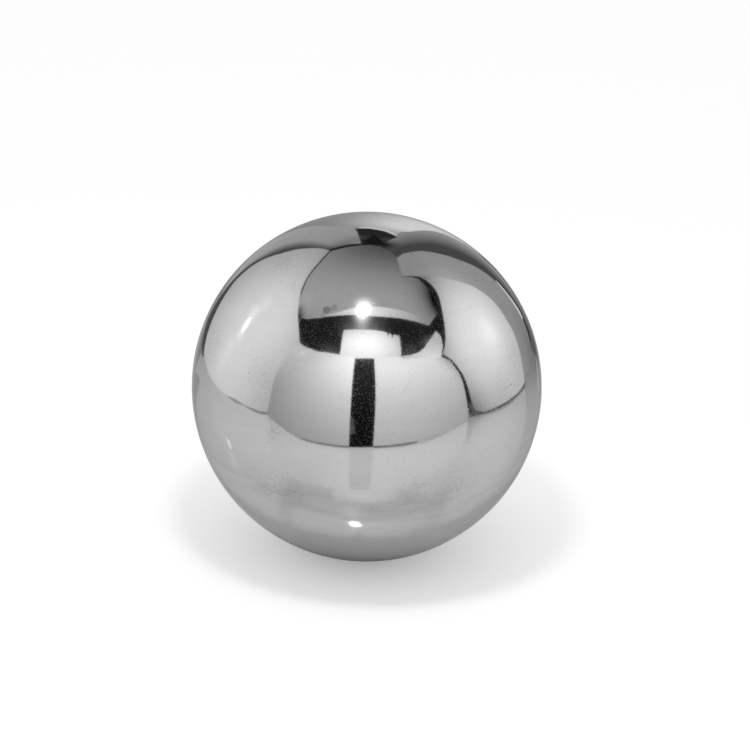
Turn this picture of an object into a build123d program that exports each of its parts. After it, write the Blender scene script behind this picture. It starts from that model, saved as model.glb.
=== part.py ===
from build123d import *
import os

# A solid polished steel ball, one piece with no holes, flats or seams.
# The origin is the ball's centre and +Z is up, so the ball touches a table at its lowest point.

# Driving dimension, in millimetres
BALL_DIAMETER = 50.0


def half_section():
    """Half of the ball's round section, bounded by the upright axis and an arc through its rim."""
    radius = BALL_DIAMETER / 2
    foot = (0, -radius)
    rim = (radius, 0)
    crown = (0, radius)
    outline = ThreePointArc(foot, rim, crown) + Line(crown, foot)
    return Plane.XZ * make_face(outline)


def ball():
    """The section turned once round the upright axis, as a ball is ground true about its centre."""
    return revolve(half_section(), axis=Axis.Z)


PIECES = {
    "ball": ball,
}


def main():
    os.makedirs("parts", exist_ok=True)
    for node, make in PIECES.items():
        piece = make()
        export_step(piece, f"parts/{node}.step")
        print(node, "volume", round(piece.volume, 1), "mm3, size", piece.bounding_box().size)


main()
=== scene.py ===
# %% [markdown]
# # A polished steel ball
# The object is one solid steel ball, ground round and lapped to a near mirror. Such a ball has
# hardly any look of its own: nearly all that the photograph shows on it is the small white studio
# that it mirrors. So this lesson has three parts: a truly round mesh, a steel finish with the
# fine marks of lapping and wear, and a studio of pale cards for the ball to mirror. The first cell
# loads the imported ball, which fixes the size and the place of everything else.

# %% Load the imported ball
import math

import bpy
from mathutils import Matrix, Vector


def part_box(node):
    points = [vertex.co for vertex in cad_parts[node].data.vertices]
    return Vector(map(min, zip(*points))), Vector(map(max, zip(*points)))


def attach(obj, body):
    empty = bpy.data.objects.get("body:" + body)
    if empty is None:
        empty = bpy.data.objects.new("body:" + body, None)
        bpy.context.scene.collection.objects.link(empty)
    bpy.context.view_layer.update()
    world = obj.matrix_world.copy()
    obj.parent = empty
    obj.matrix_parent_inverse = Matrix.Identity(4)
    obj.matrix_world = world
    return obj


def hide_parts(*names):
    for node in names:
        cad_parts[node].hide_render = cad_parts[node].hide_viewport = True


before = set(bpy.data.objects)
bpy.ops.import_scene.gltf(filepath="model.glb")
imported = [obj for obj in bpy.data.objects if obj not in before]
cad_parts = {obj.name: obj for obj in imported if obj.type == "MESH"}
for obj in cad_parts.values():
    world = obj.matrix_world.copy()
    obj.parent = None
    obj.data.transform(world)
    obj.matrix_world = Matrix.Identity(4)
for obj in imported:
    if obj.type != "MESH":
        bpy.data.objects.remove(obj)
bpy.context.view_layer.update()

MILLIMETRES_PER_METRE = 1000

ball_low, ball_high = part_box("ball")
RADIUS = (ball_high.z - ball_low.z) / 2
FLOOR_LEVEL = ball_low.z
print("ball radius", round(RADIUS * MILLIMETRES_PER_METRE, 2), "mm")
print("floor level", round(FLOOR_LEVEL * MILLIMETRES_PER_METRE, 2), "mm")

# %% [markdown]
# The camera comes first, because the studio is laid out through it. The ball's outline in the
# photograph is close to a circle, and its place and radius in pixels fix the aim and the focal
# length. The height angle comes from the mirrored cards: each is seen twice, once straight and
# once by way of the glossy table, and the two agree at about 21 degrees. The cards' upright edges
# also show that the camera was turned a little about its own axis.

# %% Camera
PICTURE_SIZE = 750
BALL_CENTRE_PIXEL = (366.8, 386.5)
BALL_RADIUS_PIXELS = 175.0
EYE_HEIGHT_ANGLE = math.radians(21)
EYE_ROLL = math.radians(2.4)
EYE_DISTANCE = 12 * RADIUS
SENSOR_WIDTH = 36.0
NEAREST_SIGHT = 0.01

focal_pixels = BALL_RADIUS_PIXELS / math.tan(math.asin(RADIUS / EYE_DISTANCE))
eye = EYE_DISTANCE * Vector((0, -math.cos(EYE_HEIGHT_ANGLE), math.sin(EYE_HEIGHT_ANGLE)))
level = Vector((1, 0, 0))
steep = level.cross(-eye.normalized())
eye_up = steep * math.cos(EYE_ROLL) - level * math.sin(EYE_ROLL)
eye_right = level * math.cos(EYE_ROLL) + steep * math.sin(EYE_ROLL)

pixel_at_ball = EYE_DISTANCE / focal_pixels
aim = eye_right * (PICTURE_SIZE / 2 - BALL_CENTRE_PIXEL[0]) * pixel_at_ball
aim += eye_up * (BALL_CENTRE_PIXEL[1] - PICTURE_SIZE / 2) * pixel_at_ball
look = (aim - eye).normalized()
eye_right = look.cross(eye_up).normalized()
eye_up = eye_right.cross(look)

camera = bpy.data.objects.new("camera", bpy.data.cameras.new("camera"))
bpy.context.scene.collection.objects.link(camera)
eye_turn = Matrix((eye_right, eye_up, -look)).transposed().to_4x4()
camera.matrix_world = Matrix.Translation(eye) @ eye_turn
camera.data.sensor_width = SENSOR_WIDTH
camera.data.lens = SENSOR_WIDTH * focal_pixels / PICTURE_SIZE
camera.data.clip_start = NEAREST_SIGHT
bpy.context.scene.camera = camera
bpy.context.scene.view_settings.view_transform = "Standard"
eye_millimetres = round(EYE_DISTANCE * MILLIMETRES_PER_METRE)
print("lens", round(camera.data.lens, 1), "mm at", eye_millimetres, "mm from the ball's middle")

# %% [markdown]
# A steel ball starts as a slug of wire that is pressed roughly round and then ground between
# grooved plates until it is a true sphere. The mesh is made in the same order. A cube is divided
# finely and then cast onto a sphere. A ball of rings and segments would pinch at its poles, and a
# mirror shows every pinch, while a cube's grid stays even all over.

# %% Ball
GRID_CUTS = 95

bpy.ops.object.select_all(action="DESELECT")
bpy.ops.mesh.primitive_cube_add(size=2 * RADIUS, location=(0, 0, 0))
ball = bpy.context.active_object
ball.name = "steel_ball"
bpy.ops.object.mode_set(mode="EDIT")
bpy.ops.mesh.select_all(action="SELECT")
bpy.ops.mesh.subdivide(number_cuts=GRID_CUTS)
bpy.ops.object.mode_set(mode="OBJECT")
ground_round = ball.modifiers.new("ground_round", "CAST")
ground_round.cast_type = "SPHERE"
ground_round.factor = 1.0
ground_round.use_radius_as_size = False
ground_round.size = RADIUS
bpy.ops.object.modifier_apply(modifier=ground_round.name)
bpy.ops.object.shade_smooth()
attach(ball, "root")
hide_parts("ball")
reach = [vertex.co.length * MILLIMETRES_PER_METRE for vertex in ball.data.vertices]
print("ball mesh", len(ball.data.polygons), "faces, radius", min(reach), "to", max(reach), "mm")

# %% [markdown]
# Shaders are written as arithmetic in this lesson. A small class wraps a node's output, so that a
# plus or a times sign between two of them adds the Math node that works it out. Every other node
# comes from one method, which takes the node's type, its settings and what goes into its sockets.

# %% Shader arithmetic
class Wire:
    """An output of a node, on which plain arithmetic can be written."""

    def __init__(self, tree, socket=None):
        self.tree = tree
        self.socket = socket

    def node(self, kind, settings, sockets, out=0):
        """Adds a node to the same tree and gives back one of its outputs."""
        made = self.tree.nodes.new(kind)
        for name, value in settings.items():
            setattr(made, name, value)
        for name, value in sockets.items():
            if isinstance(value, Wire):
                self.tree.links.new(value.socket, made.inputs[name])
            else:
                made.inputs[name].default_value = value
        return Wire(self.tree, made.outputs[out] if made.outputs else None)

    def calculate(self, operation, first, second):
        return self.node("ShaderNodeMath", {"operation": operation}, {0: first, 1: second})

    def __add__(self, other):
        return self.calculate("ADD", self, other)

    __radd__ = __add__

    def __sub__(self, other):
        return self.calculate("SUBTRACT", self, other)

    def __rsub__(self, other):
        return self.calculate("SUBTRACT", other, self)

    def __mul__(self, other):
        return self.calculate("MULTIPLY", self, other)

    __rmul__ = __mul__

    def __truediv__(self, other):
        return self.calculate("DIVIDE", self, other)

    def __rtruediv__(self, other):
        return self.calculate("DIVIDE", other, self)

    def __pow__(self, other):
        return self.calculate("POWER", self, other)

    def __rpow__(self, other):
        return self.calculate("POWER", other, self)

    def size(self):
        return self.node("ShaderNodeMath", {"operation": "ABSOLUTE"}, {0: self})

    def at_least(self, lowest):
        return self.calculate("MAXIMUM", self, lowest)

    def at_most(self, highest):
        return self.calculate("MINIMUM", self, highest)

    def share(self):
        """Keeps a mask between nought and one."""
        return self.at_least(0.0).at_most(1.0)

    def bell(self):
        """A bell curve: one where the value is nought, and falling off softly to both sides."""
        return math.e ** (0 - self * self)

    def twin(self, name):
        """Another output of the same node."""
        return Wire(self.tree, self.socket.node.outputs[name])

    def distance_from(self, point):
        settings = {"operation": "DISTANCE"}
        return self.node("ShaderNodeVectorMath", settings, {0: self, 1: point}, "Value")

    def along(self, direction):
        settings = {"operation": "DOT_PRODUCT"}
        return self.node("ShaderNodeVectorMath", settings, {0: self, 1: direction}, "Value")

    def soft_spot(self, centre, width):
        """A soft round spot: one at its centre, and nought a few widths away."""
        return (self.distance_from(centre) / width).bell()


def new_finish(name):
    """A material with an empty tree, and a wire to write its shader with."""
    material = bpy.data.materials.new(name)
    material.use_nodes = True
    material.node_tree.nodes.clear()
    return material, Wire(material.node_tree)


def finish_with(shader):
    """Ends a material's tree with this shader."""
    shader.node("ShaderNodeOutputMaterial", {}, {"Surface": shader})


# %% [markdown]
# The ball is a mirror, so marks on it and things around it can both be placed by a pixel of the
# photograph. The sight line through the pixel meets the ball at one point, turns there as light
# does in a mirror and runs on into the studio.

# %% Looking into the ball
def mirrored_sight(pixel):
    """Where a pixel's sight line meets the ball, and the way that it leaves again."""
    across = pixel[0] - PICTURE_SIZE / 2
    upward = PICTURE_SIZE / 2 - pixel[1]
    sight = (look * focal_pixels + eye_right * across + eye_up * upward).normalized()
    nearest = -eye.dot(sight)
    inside = RADIUS ** 2 - (eye.length_squared - nearest ** 2)
    touch = eye + sight * (nearest - math.sqrt(max(inside, 0)))
    return touch, sight.reflect(touch.normalized())


middle_sight = mirrored_sight(BALL_CENTRE_PIXEL)[1]
print("the middle of the ball mirrors", [round(part, 2) for part in middle_sight])

# %% [markdown]
# Lapping leaves fine lines that run round the ball. They are far too shallow to see one by one,
# but they make every mirrored edge a little ragged. A noise that is squeezed in height and drawn
# out along the ball stands for them. A second noise of the same kind, but broader, gives the
# streaks that wiping leaves, and a third makes the polish a little uneven. The photograph also
# shows a hazy belt below the ball's middle, where it may have rolled, and some worn and some dull
# patches. Each patch is placed by its pixel, with a width in radii of the ball.

# %% Lapping lines, streaks and wear
LAPPING_SIZE = (0.006, 0.006, 0.00025)
STREAK_SIZE = (0.007, 0.007, 0.0011)
WEAR_SIZE = (0.006, 0.006, 0.006)
STREAK_LEVEL = 0.42
STREAK_CONTRAST = 5
BELT_HEIGHT = -0.34
BELT_WIDTH = 0.13
DULL_SHARE = 0.5
WORN_PATCHES = [
    ((291, 492), 0.08), ((266, 485), 0.14), ((412, 489), 0.12), ((458, 486), 0.14),
    ((515, 358), 0.1), ((503, 386), 0.1), ((262, 377), 0.12), ((214, 346), 0.1), ((284, 262), 0.1),
]
DULL_PATCHES = [
    ((310, 477), 0.13), ((292, 495), 0.11), ((320, 501), 0.1), ((345, 507), 0.1),
    ((370, 509), 0.08), ((398, 508), 0.1), ((436, 502), 0.08),
]

steel, wire = new_finish("polished_steel")
place = wire.node("ShaderNodeTexCoord", {}, {}, "Object")


def noise(size, detail, turn=(0, 0, 0)):
    """A noise whose lumps are about so large, in metres along each axis."""
    scale = [1 / part for part in size]
    stretch = {"Vector": place, "Scale": scale, "Rotation": turn}
    stretched = place.node("ShaderNodeMapping", {}, stretch)
    lumps = {"Vector": stretched, "Scale": 1.0, "Detail": detail}
    return place.node("ShaderNodeTexNoise", {}, lumps)


def soft_patches(patches):
    """Soft round patches about pixels of the photograph, added up."""
    total = 0.0
    for pixel, width in patches:
        total = place.soft_spot(mirrored_sight(pixel)[0], width * RADIUS) + total
    return total


lapping = noise(LAPPING_SIZE, detail=2.0)
streaks = noise(STREAK_SIZE, detail=3.0)
wear = noise(WEAR_SIZE, detail=3.0)
height = place.along((0, 0, 1 / RADIUS))
belt = ((height - BELT_HEIGHT) / BELT_WIDTH).bell()
worn = soft_patches(WORN_PATCHES)
belt_haze = belt * ((streaks - STREAK_LEVEL) * STREAK_CONTRAST).share()
haze = belt_haze + DULL_SHARE * soft_patches(DULL_PATCHES)
belt_millimetres = round(BELT_HEIGHT * RADIUS * MILLIMETRES_PER_METRE, 1)
print("hazy belt", belt_millimetres, "mm above the ball's middle")
print(len(WORN_PATCHES), "worn patches and", len(DULL_PATCHES), "dull patches")

# %% [markdown]
# Close up, the photograph shows countless specks, smaller than a grain of salt. They are slightly
# matt, as dust is, and scatter a little light. So they are bright where the ball mirrors something
# dark, and they hardly show elsewhere. They thin out towards the top of the ball. Dark pin pricks
# gather where the ball is worn. One fine noise gives both: its peaks are the specks, and its
# hollows are the pricks.

# %% Specks and pricks
GRAIN_SIZE = (0.00024, 0.00024, 0.00018)
GRAIN_TURN = (0.6, 0.4, 0.2)
SPECK_LEVEL = 0.57
SPECK_CONTRAST = 8
SPECK_FADE_START = 0.5
SPECK_FADE_END = 1.1
PRICK_LEVEL = 0.28
PRICK_CONTRAST = 12
WORN_PRICKS = 0.14

grain = noise(GRAIN_SIZE, detail=0.0, turn=GRAIN_TURN)
thinned = ((height - SPECK_FADE_START) / (SPECK_FADE_END - SPECK_FADE_START)).share()
specks = ((grain - SPECK_LEVEL) * SPECK_CONTRAST).share() * (1 - thinned)
pricks = ((PRICK_LEVEL + WORN_PRICKS * worn - grain) * PRICK_CONTRAST).share()
print("grain", round(GRAIN_SIZE[0] * MILLIMETRES_PER_METRE, 2), "mm long")

# %% [markdown]
# A few pits and scratches are large enough to be seen one by one, and they are put where the
# photograph shows them. A pit is all that lies within a small distance of its middle. A scratch is
# thin across its own line and ends softly.

# %% Pits and scratches
PIT_PIXELS = [
    (249, 373), (268.5, 442), (273.5, 438), (288, 473), (515, 366.5), (511.5, 384.5), (509.5, 435),
    (427, 525), (386, 533), (372, 508), (411.5, 254), (496, 409),
]
PIT_RADIUS = 0.0001
PIT_REACH = 1.5
SCRATCH_PIXELS = [((403, 392), (411, 381)), ((292, 283), (293, 290)), ((294, 279), (295, 285))]
SCRATCH_WIDTH = 0.00008

pits = 0.0
for pixel in PIT_PIXELS:
    middle = mirrored_sight(pixel)[0]
    pits = (PIT_REACH - place.distance_from(middle) / PIT_RADIUS).share() + pits
scratches = 0.0
for start_pixel, end_pixel in SCRATCH_PIXELS:
    start = mirrored_sight(start_pixel)[0]
    end = mirrored_sight(end_pixel)[0]
    middle = (start + end) / 2
    sideways = start.cross(end).normalized()
    beside = (1 - place.along(sideways).size() / SCRATCH_WIDTH).share()
    beyond = (place.distance_from(middle) - (end - start).length / 2) / SCRATCH_WIDTH
    scratches = beside * (1 - beyond).share() + scratches
print(len(PIT_PIXELS), "pits and", len(SCRATCH_PIXELS), "scratches")

# %% [markdown]
# Now the finish comes together. Steel mirrors a little more than half of the light, evenly in all
# colours, so its colour is a plain mid grey. Haze, wear, pricks, pits and scratches are darker and
# rougher than the polish. Specks are a little less metallic, which lets them scatter light. The
# lapping lines and the hollows of the pits are far too shallow for the mesh, so they are a bump.

# %% Steel finish
STEEL_GREY = 0.575
STREAK_SHADE = 0.1
NOISE_MIDDLE = 0.5
HAZE_SHADE = 0.12
WORN_SHADE = 0.05
PRICK_SHADE = 0.17
PIT_SHADE = 0.5
SCRATCH_SHADE = 0.2
SPECK_COVER = 0.038
POLISH_ROUGHNESS = 0.045
WEAR_ROUGHNESS = 0.02
SPECK_ROUGHNESS = 0.03
MARK_ROUGHNESS = 0.3
LAPPING_DEPTH = 0.0000004
PIT_DEPTH = 12

broad_marks = haze * HAZE_SHADE + worn * WORN_SHADE
small_marks = pricks * PRICK_SHADE + pits * PIT_SHADE + scratches * SCRATCH_SHADE
marks = (broad_marks + small_marks).share()
grey = STEEL_GREY * (1 + STREAK_SHADE * (streaks - NOISE_MIDDLE)) * (1 - marks)
polish = POLISH_ROUGHNESS + WEAR_ROUGHNESS * wear
roughness = polish + SPECK_ROUGHNESS * specks + MARK_ROUGHNESS * marks
hollows = lapping - PIT_DEPTH * pits
relief = place.node("ShaderNodeBump", {}, {"Height": hollows, "Distance": LAPPING_DEPTH})
finish_with(wire.node("ShaderNodeBsdfPrincipled", {}, {
    "Base Color": grey,
    "Metallic": 1 - SPECK_COVER * specks,
    "Roughness": roughness,
    "Normal": relief,
}))
ball.data.materials.clear()
ball.data.materials.append(steel)
print("steel finish has", len(steel.node_tree.nodes), "nodes")

# %% [markdown]
# The studio is a ring of pale cards. Each card is laid out by looking into the ball: its corners
# are pixels of the photograph, and a plane says where in the room those pixels' mirrored sights
# end. A plane is level, or upright at a turn and a distance, or it stands on a foot line of the
# table and may lean back.

# %% Planes of the studio
TABLE_HEIGHT = -1


def seen_on(plane, pixel):
    """The point of a plane that a pixel of the ball mirrors."""
    point, normal = plane
    touch, leaving = mirrored_sight(pixel)
    return touch + leaving * ((point - touch).dot(normal) / leaving.dot(normal))


def overhead(level):
    """A level plane, so many radii above the ball's middle, or below it where that is negative."""
    return Vector((0, 0, level * RADIUS)), Vector((0, 0, 1))


def upright(turn, distance):
    """An upright plane: straight in front at a turn of nought, to the right at ninety degrees."""
    away = Vector((math.sin(math.radians(turn)), -math.cos(math.radians(turn)), 0))
    return away * distance * RADIUS, away


def standing(foot_start, foot_end, lean=0):
    """The plane of a card whose foot runs between two pixels of the table, leaning back."""
    table_top = overhead(TABLE_HEIGHT)
    start = seen_on(table_top, foot_start)
    along = (seen_on(table_top, foot_end) - start).normalized()
    outward = along.cross(Vector((0, 0, 1)))
    if outward.dot(start) < 0:
        outward = -outward
    rise = Vector((0, 0, math.cos(math.radians(lean)))) + outward * math.sin(math.radians(lean))
    return start, along.cross(rise).normalized()


def shifted(plane, share):
    """The same plane, at so many times its distance from the ball's middle."""
    return plane[0] * share, plane[1]


def only_mirrored(thing):
    """Keeps a stage piece out of the picture and the light, so that only the ball shows it."""
    thing.visible_camera = False
    thing.visible_diffuse = False
    thing.visible_shadow = False


# %% [markdown]
# A card has an even brightness of its own, and soft patches where a lamp lights it more or
# something shades it. Brightness one is white. A patch is a bell curve about a pixel, with a width
# in radii of the ball and a strength that is added to the brightness. A fade dims a card from one
# pixel to another, as on paper that curls away from the light.

# %% Cards
LOWEST_GLOW = 0.005


def glowing_finish(name, brightness, patches=(), fade=None):
    """A card's own even brightness, with soft patches of light and shade."""
    material, wire = new_finish(name)
    material.cycles.emission_sampling = "NONE"
    place = wire.node("ShaderNodeTexCoord", {}, {}, "Object")
    # The first wire is nought everywhere, so that a card without patches also gets a sum.
    nought = place.along((0, 0, 0))
    shine = nought + brightness
    for centre, width, strength in patches:
        shine = shine + strength * place.soft_spot(centre, width * RADIUS)
    if fade:
        start, end, dim = fade
        course = (end - start) / (end - start).length_squared
        faded = (place.along(course) - start.dot(course)).share()
        shine = shine * (1 - faded) + dim * faded
    glow = shine.at_least(LOWEST_GLOW)
    finish_with(wire.node("ShaderNodeEmission", {}, {"Color": glow, "Strength": 1.0}))
    return material


def card(name, plane, outline, brightness, patches=(), fade=None):
    """A flat card cut to an outline of pixels, as the ball mirrors it."""
    bpy.ops.object.select_all(action="DESELECT")
    bpy.ops.mesh.primitive_circle_add(vertices=len(outline), radius=RADIUS, fill_type="NGON")
    made = bpy.context.active_object
    made.name = name
    for vertex, corner in zip(made.data.vertices, outline):
        vertex.co = seen_on(plane, corner)
    patches = [(seen_on(plane, pixel), width, strength) for pixel, width, strength in patches]
    if fade:
        fade = (seen_on(plane, fade[0]), seen_on(plane, fade[1]), fade[2])
    made.data.materials.append(glowing_finish(name, brightness, patches, fade))
    only_mirrored(made)
    reach = [vertex.co.length / RADIUS for vertex in made.data.vertices]
    print(name, "lies", round(min(reach), 1), "to", round(max(reach), 1), "radii away")


# %% [markdown]
# Two cards stand in front of the ball and lean back. The left one bends at the outer end of its
# foot, and the bend is a narrow card of its own. A third, smaller card fills the corner at the
# upper right.

# %% Front cards
FRONT_LEAN = 28
FRONT_LEFT_FOOT = ((300, 439), (349, 448))
FRONT_LEFT_OUTLINE = [
    (349, 447.6), (304, 439.6), (296, 436.2), (282, 424.6), (275, 418.6), (267, 414.5), (270, 400),
    (274, 380), (283, 361), (293, 350), (299, 342.5), (306, 347), (318, 351.5), (345, 355.6),
    (355, 357), (350.5, 410),
]
FRONT_LEFT_PATCHES = [
    ((380, 366), 6.0, 1.7), ((278, 353), 5.5, 0.75), ((303, 353), 0.9, 0.15),
    ((287, 356), 1.2, -0.1),
]
FRONT_RIGHT_FOOT = ((373, 448), (450, 431))
FRONT_RIGHT_OUTLINE = [
    (373, 447.6), (400, 443), (430, 437), (450, 430.6), (468, 420), (463, 383), (459.5, 374),
    (450, 360.5), (441, 356.5), (420, 355.4), (402, 357), (374, 357), (375.4, 380), (375.6, 400),
]
FRONT_RIGHT_PATCHES = [((360, 364), 6.0, 0.8), ((422, 356), 9.0, 0.8)]
CORNER_OUTLINE = [
    (441, 358), (442.8, 346), (440.7, 336), (436, 331), (427.4, 343), (424.2, 348), (418.6, 352.4),
    (411, 355), (402, 356), (402, 359),
]
CORNER_PATCHES = [((430, 363), 2.2, 0.45)]
BEND_FOOT = ((268, 415.5), (299, 438.5))
BEND_OUTLINE = [(267, 417), (282, 427), (300, 441), (300, 428), (284, 412), (271, 402)]

front_left = standing(*FRONT_LEFT_FOOT, FRONT_LEAN)
front_right = standing(*FRONT_RIGHT_FOOT, FRONT_LEAN)
corner = upright(turn=35, distance=8)
bend = standing(*BEND_FOOT, FRONT_LEAN)
card("front_left_card", front_left, FRONT_LEFT_OUTLINE, brightness=0.26, patches=FRONT_LEFT_PATCHES)
card("front_right_card", front_right, FRONT_RIGHT_OUTLINE, brightness=0.4, patches=FRONT_RIGHT_PATCHES)
card("front_right_corner", corner, CORNER_OUTLINE, brightness=0.78, patches=CORNER_PATCHES)
card("front_left_bend", bend, BEND_OUTLINE, brightness=0.43)

# %% [markdown]
# The two front cards leave a slit for the lens. A black sheet hangs just behind it, a little
# brighter towards its top, and a small grey tab reaches into it. Far off at the right, another dark
# sheet shows in the gap between the right front card and the next one.

# %% Lens slit and right gap
SLIT_OUTLINE = [(345, 450), (378, 450), (380, 400), (378, 358.6), (352, 358.6), (346, 400)]
SLIT_PATCHES = [((365, 359), 1.4, 0.07), ((365, 374), 2.6, 0.025)]
SLIT_TAB_OUTLINE = [(350, 414), (353.5, 419), (355.5, 433), (349.5, 435)]
RIGHT_GAP_OUTLINE = [
    (438, 350), (452, 353), (467, 372), (473, 392), (480, 408), (474, 420), (462, 422), (458, 390),
    (450, 370), (436, 360),
]

behind_slit = shifted(front_left, share=1.02)
in_slit = shifted(front_left, share=1.01)
far_right = upright(turn=65, distance=40)
card("lens_slit", behind_slit, SLIT_OUTLINE, brightness=0.006, patches=SLIT_PATCHES)
card("lens_slit_tab", in_slit, SLIT_TAB_OUTLINE, brightness=0.1)
card("right_gap", far_right, RIGHT_GAP_OUTLINE, brightness=0.02)

# %% [markdown]
# A tall card stands at each side. The left one shows the streak of a second lamp, which is a small
# bright card of its own. The right one is brightest at its middle and falls off to a dark foot.

# %% Side cards
LEFT_OUTLINE = [
    (267, 415), (257, 412.5), (250, 409), (243, 404), (235, 399), (226, 395), (215, 392),
    (208, 390), (203.3, 357), (205.5, 341), (235, 281.3), (252, 266), (270, 256.5), (290, 251),
    (320, 248.3), (330, 250.6), (319.3, 262), (307.3, 277), (301.3, 290), (298, 315), (299, 330),
    (300, 343), (289, 355), (280, 370), (271, 411),
]
LEFT_PATCHES = [
    ((279, 317), 7.0, 0.6), ((223, 367), 4.4, 0.3), ((253, 314), 0.5, 0.3),
    ((241, 333), 0.45, 0.25), ((266, 303), 0.7, 0.12), ((230, 346), 0.5, 0.12),
    ((221, 362), 0.6, 0.09),
]
LEFT_LAMP_OUTLINE = [
    (252, 316), (250.6, 321), (247.8, 326.5), (244, 331.5), (240.8, 334), (241.6, 329),
    (244.2, 323.4), (248, 318.2),
]
RIGHT_FOOT = ((480, 415), (518, 394.5))
RIGHT_OUTLINE = [
    (471, 418.5), (480, 415), (490, 411.5), (500, 406), (510, 399.5), (518, 394.5), (525, 390),
    (522.6, 366), (512.5, 330), (506, 319), (499, 308), (490, 298), (470, 285), (460, 282),
    (450, 279.5), (430, 276), (418, 276.5), (426, 280.2), (431.7, 285), (436, 290.4), (439, 297),
    (442, 310), (445.5, 338), (445, 346), (442.5, 354), (452, 360), (463.4, 375), (471.6, 402),
    (474, 412),
]
RIGHT_PATCHES = [((489, 331), 1.3, 0.28), ((476, 337), 8.4, 1.25), ((457, 437), 5.3, -1.0)]

left_side = upright(turn=-105, distance=7)
left_lamp = upright(turn=-105, distance=6.8)
right_side = standing(*RIGHT_FOOT)
card("left_card", left_side, LEFT_OUTLINE, brightness=0.47, patches=LEFT_PATCHES)
card("left_lamp", left_lamp, LEFT_LAMP_OUTLINE, brightness=1.85)
card("right_card", right_side, RIGHT_OUTLINE, brightness=0.05, patches=RIGHT_PATCHES)

# %% [markdown]
# Overhead lies a grey card, with a bright strip along its front edge where the lamp grazes it, and
# two small darker patches beside the lamp. The strip and the patches lie just below the card, so
# that they hide it.

# %% Ceiling card
CEILING_HEIGHT = 4.5
PATCH_HEIGHT = 4.45
STRIP_HEIGHT = 4.4
CEILING_OUTLINE = [
    (299.5, 300), (298.5, 312), (301, 318), (308, 319), (320, 318), (372, 315.5), (390, 317),
    (428.5, 325.8), (437.5, 313.5), (437, 307), (434.5, 299), (430.5, 291.5), (418.5, 279),
    (412, 276.8), (402, 276.3), (400, 270), (397, 258), (390, 251), (380, 246.6), (370, 245),
    (331, 251.3), (320.6, 262.6), (308.4, 277.5),
]
CEILING_PATCHES = [
    ((364, 306), 0.33, 1.6), ((377, 263), 7.0, 0.68), ((449, 301), 1.4, -1.0),
    ((385, 248), 2.7, -0.55), ((299.5, 316), 0.34, -0.34), ((299.5, 309), 0.26, -0.24),
    ((306, 299), 0.55, 0.07),
]
STRIP_OUTLINE = [
    (322, 317.5), (335, 313.3), (350, 308.6), (366, 306), (412, 313.5), (428, 325), (420, 322.8),
    (400, 318), (385, 317), (372, 316.3),
]
STRIP_PATCHES = [((364, 311), 3.3, 1.0), ((366, 310.5), 0.9, 0.3), ((363, 310), 0.3, 1.2)]
FIRST_PATCH_OUTLINE = [
    (322.5, 308), (327, 306.3), (331, 308), (330.5, 311), (328, 313.6), (323.5, 313.4),
]
SECOND_PATCH_OUTLINE = [(331.5, 305.8), (335.5, 304.2), (337, 306), (336.5, 310.4), (331.5, 311)]

ceiling = overhead(CEILING_HEIGHT)
under_ceiling = overhead(PATCH_HEIGHT)
strip = overhead(STRIP_HEIGHT)
card("ceiling_card", ceiling, CEILING_OUTLINE, brightness=0.02, patches=CEILING_PATCHES)
card("lit_strip", strip, STRIP_OUTLINE, brightness=0.02, patches=STRIP_PATCHES)
card("ceiling_patch_first", under_ceiling, FIRST_PATCH_OUTLINE, brightness=0.27)
card("ceiling_patch_second", under_ceiling, SECOND_PATCH_OUTLINE, brightness=0.37)

# %% [markdown]
# The lamp's own face is a small disc of great brightness, just below the ceiling card. Far above
# hangs a backing that is dark apart from the lamp's glow, and far in front of the ball stands a
# white card with nicks in its top edge.

# %% Lamp face, backing and far card
LAMP_FACE_HEIGHT = 4.35
BACKING_HEIGHT = 22
LAMP_FACE_OUTLINE = [
    (356.4, 311.6), (358.4, 306.6), (363, 304.2), (367.6, 304.4), (369.4, 308), (368, 312.8),
    (364, 315.6), (359, 315.4),
]
BACKING_OUTLINE = [
    (296, 312), (364, 310), (440, 318), (447, 340), (441, 358), (400, 360), (340, 360), (300, 348),
]
BACKING_PATCHES = [
    ((363, 330), 4.4, 0.28), ((331, 354), 4.6, 0.1), ((409, 353), 3.8, 0.07),
    ((428, 342), 2.4, 0.12), ((362.5, 315), 1.6, 1.6), ((362, 321), 1.5, 0.4),
    ((362, 327), 1.5, 0.27),
]
WHITE_OUTLINE = [
    (343.8, 330), (374, 330), (384, 331.6), (387, 332.6), (388, 336.5), (389.4, 333.3), (391, 334),
    (392.2, 338.5), (393.6, 334.6), (399.5, 336), (401.7, 361), (339.3, 361),
]
WHITE_PATCHES = [((365, 343), 9.0, 1.65)]

lamp_face = overhead(LAMP_FACE_HEIGHT)
backing = overhead(BACKING_HEIGHT)
far_front = upright(turn=0, distance=13)
card("dark_backing", backing, BACKING_OUTLINE, brightness=0.017, patches=BACKING_PATCHES)
card("lamp_face", lamp_face, LAMP_FACE_OUTLINE, brightness=20.0)
card("far_white_card", far_front, WHITE_OUTLINE, brightness=0.15, patches=WHITE_PATCHES)

# %% [markdown]
# The rim of a mirror ball shows what stands behind it, squeezed into a narrow crescent. Close
# behind the ball stands a card with a bright cut edge. Farther off, a left and a right card fade
# towards the sides and leave a dark opening between them, with a small dark shape like a tent in it.

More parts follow.
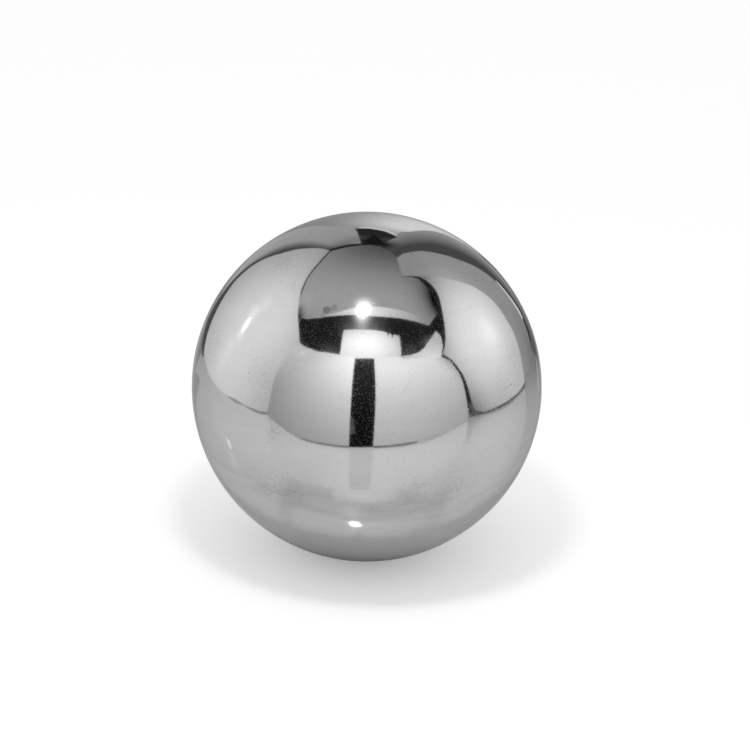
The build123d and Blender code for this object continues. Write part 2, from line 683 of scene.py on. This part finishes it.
# %% Back cards
BACK_OUTLINE = [
    (175, 273), (330, 226.5), (346, 226), (354.6, 228.6), (370, 228.6), (385, 231.4),
    (396.5, 236.5), (400, 232), (410, 231.8), (420, 230.7), (435, 231.5), (450, 236.5), (462, 243),
    (568, 289),
]
BACK_PATCHES = [((405, 228), 1.5, 0.66), ((434, 229), 1.1, 0.42)]
BACK_EDGE_OUTLINE = [
    (360, 226.8), (370, 227), (385, 229.6), (396, 234), (396.5, 236.2), (385, 231.4), (370, 228.5),
    (360, 228.2),
]
BACK_LEFT_OUTLINE = [
    (325, 221), (354.8, 228.6), (357.8, 233), (361, 243.5), (349, 244.4), (330, 249.4), (300, 256),
    (250, 276), (235, 292), (222, 306), (210, 306), (220, 288), (231, 273), (257, 247),
]
BACK_LEFT_PATCHES = [((335, 250), 3.3, -0.36), ((356, 239), 2.2, -0.12)]
BACK_LEFT_FADE = ((300.5, 240.2), (285, 250.5), 0.06)
BACK_RIGHT_OUTLINE = [
    (396.5, 237.5), (397.5, 234.5), (405, 228), (432, 226), (462, 241), (485, 260), (505, 281),
    (517, 300), (517, 325), (490, 290), (450, 270), (410, 262), (385, 255), (378, 247),
]
BACK_RIGHT_PATCHES = [((386, 244.4), 2.8, -0.37), ((383, 249), 2.2, -0.3)]
BACK_RIGHT_FADE = ((428, 232.5), (457.2, 251.4), 0.09)
BACK_GAP_OUTLINE = [
    (350, 226), (370, 226), (400, 234), (396, 246), (390, 252), (370, 248), (355, 248),
]
BACK_GAP_PATCHES = [((360, 237.6), 1.3, 0.052), ((388, 240), 1.6, 0.045)]
TENT_OUTLINE = [(363, 245), (367, 239), (374.5, 235), (377.5, 237.4), (381, 240), (385.5, 245)]

back = upright(turn=180, distance=5)
back_edge = upright(turn=180, distance=4.95)
back_left = upright(turn=-163, distance=13)
back_right = upright(turn=161, distance=13)
opening = upright(turn=180, distance=16)
tent = upright(turn=180, distance=15.5)
card("back_card", back, BACK_OUTLINE, brightness=0.31, patches=BACK_PATCHES)
card("back_card_edge", back_edge, BACK_EDGE_OUTLINE, brightness=0.85)
card(
    "back_left_card", back_left, BACK_LEFT_OUTLINE,
    brightness=0.47, patches=BACK_LEFT_PATCHES, fade=BACK_LEFT_FADE,
)
card(
    "back_right_card", back_right, BACK_RIGHT_OUTLINE,
    brightness=0.38, patches=BACK_RIGHT_PATCHES, fade=BACK_RIGHT_FADE,
)
card("back_gap", opening, BACK_GAP_OUTLINE, brightness=0.025, patches=BACK_GAP_PATCHES)
card("dark_tent", tent, TENT_OUTLINE, brightness=0.012)

# %% [markdown]
# A card at the right rear has a bright cut edge too. A thin dark line at each side of the ball
# shows where the cards there end, just short of the rim.

# %% Right rear card and dark lines
RIGHT_BACK_OUTLINE = [
    (396.8, 258), (403, 253.8), (422, 251), (440, 254), (460, 260.4), (490, 276.5), (507, 294.5),
    (519, 311.5), (525.5, 326), (533, 358), (535, 372), (536.5, 385), (500, 400), (470, 330),
    (450, 300), (432, 280), (418, 276.3), (402, 276), (399.5, 268),
]
RIGHT_BACK_PATCHES = [((468, 317), 5.0, 0.68), ((530, 348), 1.7, -0.13)]
CUT_EDGE_OUTLINE = [
    (496, 280.4), (507.5, 293.6), (519.5, 311), (523, 318.5), (522, 318.8), (506.4, 294.4),
    (495.6, 281),
]
RIM_GAP_OUTLINE = [
    (496.5, 279.5), (508.5, 293), (520.5, 310.5), (531.5, 340), (534, 356), (536, 371),
    (537.5, 385), (536.3, 385), (534.6, 371), (532.4, 356), (525, 325), (519, 311.3), (507.4, 294),
    (496, 280.3),
]
LEFT_LINE_OUTLINE = [
    (310, 246.8), (280, 252.2), (250, 264.8), (233.6, 279.5), (219, 298.5), (208.5, 318),
    (203, 338), (202, 356), (203.4, 357), (206, 340), (211.5, 320), (220.8, 300.3), (235, 281),
    (251.5, 266.3), (281, 253.6), (310, 248.2),
]

right_rear = upright(turn=140, distance=9)
right_rear_edge = upright(turn=140, distance=8.9)
right_rim = upright(turn=140, distance=8.95)
left_rear = upright(turn=-150, distance=5)
card("right_back_card", right_rear, RIGHT_BACK_OUTLINE, brightness=0.41, patches=RIGHT_BACK_PATCHES)
card("right_back_edge", right_rear_edge, CUT_EDGE_OUTLINE, brightness=0.85)
card("right_rim_line", right_rim, RIM_GAP_OUTLINE, brightness=0.05)
card("left_line", left_rear, LEFT_LINE_OUTLINE, brightness=0.09)

# %% [markdown]
# Where a card meets the table there is a thin soft shadow. It is the detail that makes the cards
# stand rather than float. The left card's shadow is a narrow strip on the table. Each of the others
# is a narrow dark strip that stands just in front of its card.

# %% Foot shadows
LEFT_FOOT_HEIGHT = -0.995
FOOT_SHIFT = 0.995
LEFT_FOOT_OUTLINE = [
    (225, 393.4), (232, 396.4), (240, 400.8), (256, 409.8), (262, 411.6), (268, 412), (268, 415),
    (262, 414.4), (256, 412.4), (240, 403), (232, 397.8), (225, 393.8),
]
RIGHT_FOOT_OUTLINE = [
    (468, 402), (470, 403), (476, 410.8), (484, 411.8), (500, 405.2), (510, 399.2), (517, 393.8),
    (521, 389), (523.4, 384.6), (525.4, 381), (526, 394), (510, 404), (490, 416), (470, 423),
]
RIGHT_FOOT_PATCHES = [((469, 411), 0.5, -0.1)]
FRONT_LEFT_FOOT_OUTLINE = [(300, 437.5), (349, 445.6), (349, 452), (325, 449), (300, 444)]
FRONT_RIGHT_FOOT_OUTLINE = [
    (373, 445.8), (400, 443.8), (418, 440.9), (418, 444), (400, 449), (385, 452), (373, 453),
]

on_table = overhead(LEFT_FOOT_HEIGHT)
before_right = shifted(right_side, FOOT_SHIFT)
before_front_left = shifted(front_left, FOOT_SHIFT)
before_front_right = shifted(front_right, FOOT_SHIFT)
card("left_foot", on_table, LEFT_FOOT_OUTLINE, brightness=0.33)
card("right_foot", before_right, RIGHT_FOOT_OUTLINE, brightness=0.14, patches=RIGHT_FOOT_PATCHES)
card("front_left_foot", before_front_left, FRONT_LEFT_FOOT_OUTLINE, brightness=0.3)
card("front_right_foot", before_front_right, FRONT_RIGHT_FOOT_OUTLINE, brightness=0.24)

# %% [markdown]
# One lamp lights the floor and gives the ball its shadow. The ball doesn't mirror this lamp,
# because the bright disc overhead already stands for its face, so the lamp can be large and its
# shadow soft.

# %% Lamp
LAMP_POWER = 0.045
LAMP_SIZE = 0.9
LAMP_PIXEL = (363, 310)

lamp = bpy.data.objects.new("lamp", bpy.data.lights.new("lamp", "AREA"))
bpy.context.scene.collection.objects.link(lamp)
lamp.data.shape = "DISK"
lamp.data.size = LAMP_SIZE * RADIUS
lamp.data.energy = LAMP_POWER
lamp.visible_glossy = False
lamp.location = seen_on(ceiling, LAMP_PIXEL)
lamp.rotation_euler = (-lamp.location).to_track_quat("-Z", "Y").to_euler()
print("lamp at", [round(value / RADIUS, 2) for value in lamp.location], "radii")

# %% [markdown]
# Between the cards the ball mirrors an unlit room. A large dim shell stands for it.

# %% Dark room
ROOM_RADIUS = 60
ROOM_BRIGHTNESS = 0.02

bpy.ops.object.select_all(action="DESELECT")
bpy.ops.mesh.primitive_ico_sphere_add(subdivisions=4, radius=ROOM_RADIUS * RADIUS)
dark_room = bpy.context.active_object
dark_room.name = "dark_room"
dark_room.data.materials.append(glowing_finish("dark_room", ROOM_BRIGHTNESS))
only_mirrored(dark_room)
print("dark room", round(2 * ROOM_RADIUS * RADIUS, 2), "m across")

# %% [markdown]
# The photograph's background is white, but the ball shows that it stood on a satin grey table: it
# mirrors the table's shadow, a glint of the lamp and the feet of the cards. So the ball mirrors a
# sheet of its own, just above the floor. Its grey carries painted shade that darkens it towards the
# back, and soft patches of painted light and shade, placed in radii from the ball's foot: a painted
# shadow behind the ball, painted light round its foot with painted contact shade at the middle,
# painted light at the right and painted shade at the right rear. One scuffed spot mirrors less
# sharply. The glint is a painted highlight, a small bright card that lies on the sheet.

# %% Table that the ball mirrors
TABLE_SIZE = 60
TABLE_LIFT = 0.001
TABLE_GREY = 0.73
# The grey darkens by this much per radius towards the back, as painted shade.
TABLE_PAINTED_SHADE_TO_BACK = 0.07
TABLE_BRIGHTEST = 0.95
TABLE_DARKEST = 0.2
# Patches of painted light and shade (place across and back in radii, width in radii, strength): a
# painted shadow behind the ball, painted light round its foot, painted contact shade at its middle,
# painted light at the right and painted shade at the right rear.
TABLE_PAINTED_LIGHT_AND_SHADE = [
    ((0, 1.8), 2.2, -0.4), ((0, 0), 0.9, 0.63), ((0, 0), 0.5, -0.39), ((5, -0.5), 3.5, 0.14),
    ((3.3, 5.2), 1.3, -0.6),
]
TABLE_ROUGHNESS = 0.06
TABLE_GLOSS = 1.9
SCUFF_PLACE = (2.3, -1.6)
SCUFF_WIDTH = 1.3
SCUFF_ROUGHNESS = 0.3
GLINT_HEIGHT = -0.99
GLINT_OUTLINE = [(226, 437), (228.6, 440), (231.4, 446), (231.8, 450), (229.6, 447.5), (227, 442)]

table_level = FLOOR_LEVEL + TABLE_LIFT * RADIUS
bpy.ops.object.select_all(action="DESELECT")
bpy.ops.mesh.primitive_plane_add(size=TABLE_SIZE * RADIUS, location=(0, 0, table_level))
table = bpy.context.active_object
table.name = "table_sheet"
satin, wire = new_finish("table_sheet")
place = wire.node("ShaderNodeTexCoord", {}, {}, "Object")


def table_spot(spot, width):
    """A soft round spot of the table, placed and sized in radii of the ball."""
    across, back = spot
    return place.soft_spot((across * RADIUS, back * RADIUS, 0), width * RADIUS)


# The table's grey carries painted shade towards the back, and the patches multiply in painted light
# and shade.
depth = place.along((0, 1 / RADIUS, 0))
table_grey_and_painted_light = (TABLE_GREY - TABLE_PAINTED_SHADE_TO_BACK * depth).at_least(TABLE_DARKEST).at_most(TABLE_BRIGHTEST)
for spot, width, strength in TABLE_PAINTED_LIGHT_AND_SHADE:
    table_grey_and_painted_light = table_grey_and_painted_light * (1 + strength * table_spot(spot, width))
finish_with(wire.node("ShaderNodeBsdfPrincipled", {}, {
    "Base Color": table_grey_and_painted_light,
    "Roughness": TABLE_ROUGHNESS + SCUFF_ROUGHNESS * table_spot(SCUFF_PLACE, SCUFF_WIDTH),
    "IOR": TABLE_GLOSS,
}))
table.data.materials.append(satin)
only_mirrored(table)
card("table_glint", overhead(GLINT_HEIGHT), GLINT_OUTLINE, brightness=1.15)
print("table", round(TABLE_SIZE * RADIUS, 2), "m across")

# %% [markdown]
# The camera sees a plain white floor with the ball's soft shadow on it. The floor is a pale matt
# sheet, and a little light of its own lifts it to white, for sight lines only, so that it sends no
# more light onto the ball.

# %% Floor
FLOOR_SIZE = 100
FLOOR_GREY = (0.8, 0.8, 0.8, 1.0)
FLOOR_LIFT = 0.3
WHITE = (1, 1, 1, 1)

bpy.ops.object.select_all(action="DESELECT")
bpy.ops.mesh.primitive_plane_add(size=FLOOR_SIZE * RADIUS, location=(0, 0, FLOOR_LEVEL))
floor = bpy.context.active_object
floor.name = "floor"
pale, wire = new_finish("pale_floor")


def sight_line(wire):
    """One for rays that the camera, a mirror or glass sends out, nought for the light itself."""
    camera_ray = wire.node("ShaderNodeLightPath", {}, {}, "Is Camera Ray")
    return camera_ray + camera_ray.twin("Is Glossy Ray") + camera_ray.twin("Is Transmission Ray")


plain = wire.node("ShaderNodeBsdfDiffuse", {}, {"Color": FLOOR_GREY})
lift_strength = FLOOR_LIFT * sight_line(wire)
lift = wire.node("ShaderNodeEmission", {}, {"Color": WHITE, "Strength": lift_strength})
finish_with(wire.node("ShaderNodeAddShader", {}, {0: plain, 1: lift}))
floor.data.materials.append(pale)
print("floor", round(FLOOR_SIZE * RADIUS, 2), "m across")

# %% [markdown]
# The air of the studio lights everything evenly. Sight lines that miss the floor see plain white.

# %% Air
AIR_LIGHT = 0.85

world = bpy.data.worlds.new("studio_air")
bpy.context.scene.world = world
world.use_nodes = True
world.node_tree.nodes.clear()
wire = Wire(world.node_tree)
brightness = AIR_LIGHT + (1 - AIR_LIGHT) * sight_line(wire)
air = wire.node("ShaderNodeBackground", {}, {"Color": WHITE, "Strength": brightness})
air.node("ShaderNodeOutputWorld", {}, {"Surface": air})
print("air light", AIR_LIGHT)
